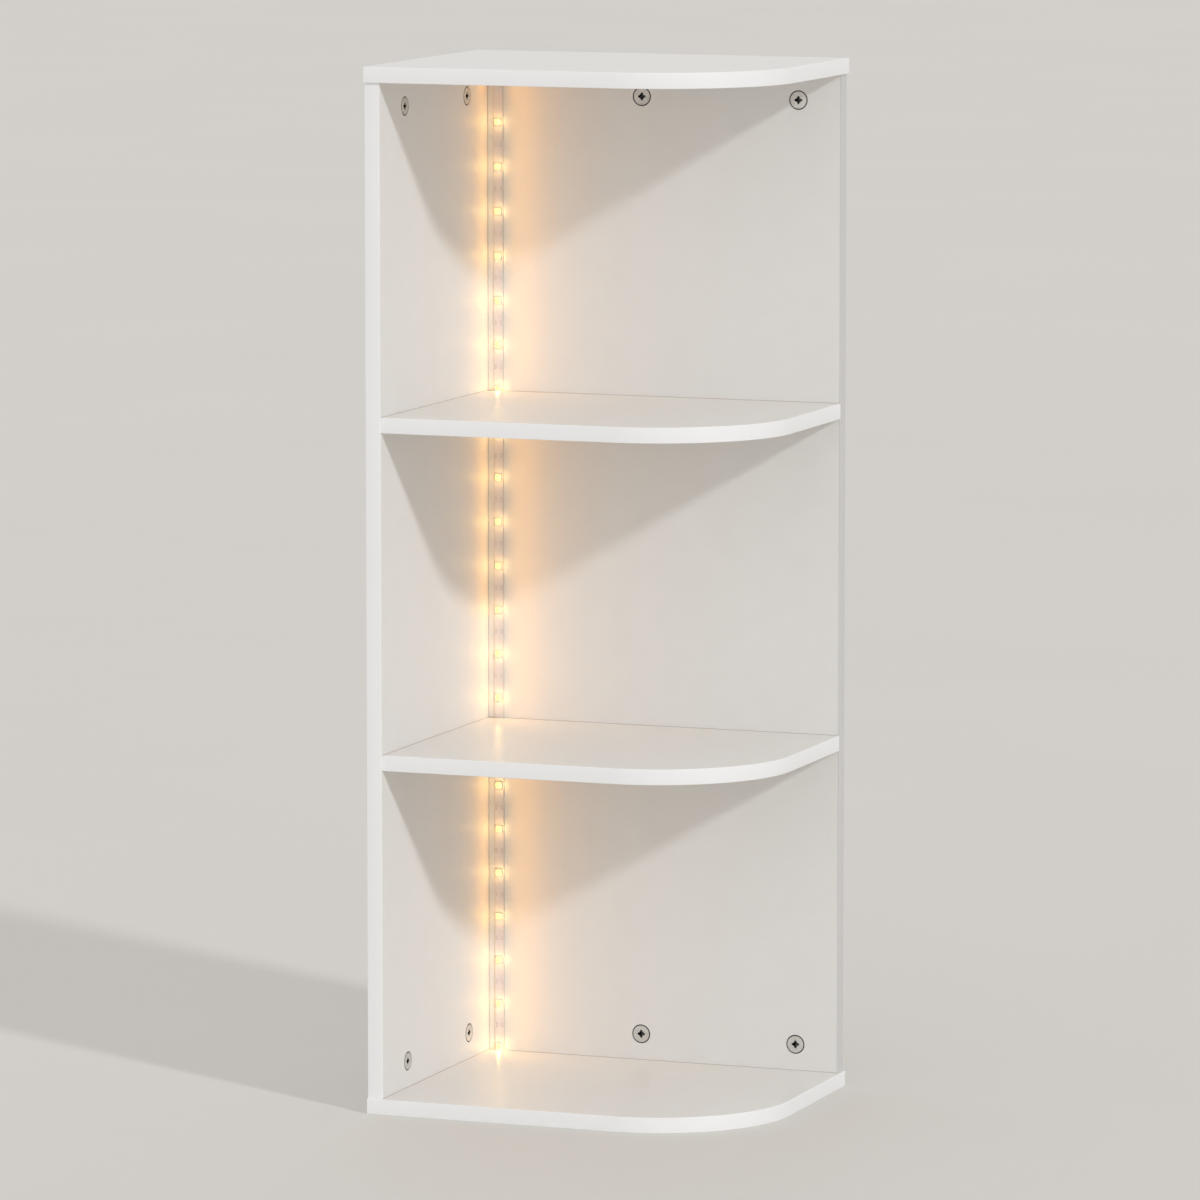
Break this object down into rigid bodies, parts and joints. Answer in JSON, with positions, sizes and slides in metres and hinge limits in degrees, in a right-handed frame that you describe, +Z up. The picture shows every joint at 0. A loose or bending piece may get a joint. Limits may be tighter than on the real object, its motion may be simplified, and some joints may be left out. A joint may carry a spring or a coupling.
{
  "type": "corner shelf",
  "caption": "Tall narrow corner shelf of white melamine boards with a round front corner, open bays, cam-lock joints and a warm lit strip up the inner corner.",
  "frame": {"origin": "middle of the footprint, on the surface that the shelf stands on", "axes": "+Z up, -Y to the front, +Y to the wall behind the wide panel, -X to the wall beside the narrow panel"},
  "size_m": [0.305, 0.237, 0.8],
  "materials": {
    "white_board": "white melamine on particleboard, fine satin grain",
    "white_band": "white edge band, satin",
    "cast_zinc": "bare die-cast zinc, slightly frosted",
    "plated_steel": "zinc plated",
    "beech": "plain turned beech",
    "foam_tape": "thin adhesive tape",
    "circuit_white": "white solder mask",
    "chip_white": "moulded white",
    "chip_glow": "warm glowing phosphor",
    "connector_white": "moulded white",
    "contact_brass": "plain",
    "grommet_rubber": "soft moulded"
  },
  "bodies": {
    "carcass": {"top_board": "white_board", "bottom_board": "white_board", "upper_shelf": "white_board", "lower_shelf": "white_board", "left_panel": "white_board", "right_panel": "white_board", "top_board_front_band": "white_band", "top_board_wall_bands": "white_band", "bottom_board_front_band": "white_band", "bottom_board_wall_bands": "white_band", "upper_shelf_front_band": "white_band", "lower_shelf_front_band": "white_band", "left_panel_front_band": "white_band", "right_panel_end_band": "white_band", "right_panel_wall_band": "white_band", "top_cam_bolts": "plated_steel", "bottom_cam_bolts": "plated_steel", "upper_shelf_screws": "plated_steel", "lower_shelf_screws": "plated_steel", "corner_screws": "plated_steel", "top_dowels": "beech", "bottom_dowels": "beech", "strip_tape": "foam_tape", "strip_circuit": "circuit_white", "chip_housings": "chip_white", "chip_lenses": "chip_glow", "strip_connector": "connector_white", "inlet_pins": "contact_brass", "supply_grommet": "grommet_rubber"},
    "lock_left_top_front": {"cam_left_top_front": "cast_zinc"},
    "lock_left_top_rear": {"cam_left_top_rear": "cast_zinc"},
    "lock_left_bottom_front": {"cam_left_bottom_front": "cast_zinc"},
    "lock_left_bottom_rear": {"cam_left_bottom_rear": "cast_zinc"},
    "lock_right_top_outer": {"cam_right_top_outer": "cast_zinc"},
    "lock_right_top_inner": {"cam_right_top_inner": "cast_zinc"},
    "lock_right_bottom_outer": {"cam_right_bottom_outer": "cast_zinc"},
    "lock_right_bottom_inner": {"cam_right_bottom_inner": "cast_zinc"}
  },
  "joints": [
    {"name": "turn_left_top_front", "type": "hinge", "parent": "carcass", "child": "lock_left_top_front", "pos_m": [-0.1405, -0.0645, 0.7675], "axis": [1, 0, 0], "range_deg": [0, 180]},
    {"name": "turn_left_top_rear", "type": "hinge", "parent": "carcass", "child": "lock_left_top_rear", "pos_m": [-0.1405, 0.0635, 0.7675], "axis": [1, 0, 0], "range_deg": [0, 180]},
    {"name": "turn_left_bottom_front", "type": "hinge", "parent": "carcass", "child": "lock_left_bottom_front", "pos_m": [-0.1405, -0.0645, 0.0325], "axis": [1, 0, 0], "range_deg": [0, 180]},
    {"name": "turn_left_bottom_rear", "type": "hinge", "parent": "carcass", "child": "lock_left_bottom_rear", "pos_m": [-0.1405, 0.0635, 0.0325], "axis": [1, 0, 0], "range_deg": [0, 180]},
    {"name": "turn_right_top_outer", "type": "hinge", "parent": "carcass", "child": "lock_right_top_outer", "pos_m": [0.1155, 0.1065, 0.7675], "axis": [0, -1, 0], "range_deg": [0, 180]},
    {"name": "turn_right_top_inner", "type": "hinge", "parent": "carcass", "child": "lock_right_top_inner", "pos_m": [-0.0125, 0.1065, 0.7675], "axis": [0, -1, 0], "range_deg": [0, 180]},
    {"name": "turn_right_bottom_outer", "type": "hinge", "parent": "carcass", "child": "lock_right_bottom_outer", "pos_m": [0.1155, 0.1065, 0.0325], "axis": [0, -1, 0], "range_deg": [0, 180]},
    {"name": "turn_right_bottom_inner", "type": "hinge", "parent": "carcass", "child": "lock_right_bottom_inner", "pos_m": [-0.0125, 0.1065, 0.0325], "axis": [0, -1, 0], "range_deg": [0, 180]}
  ]
}
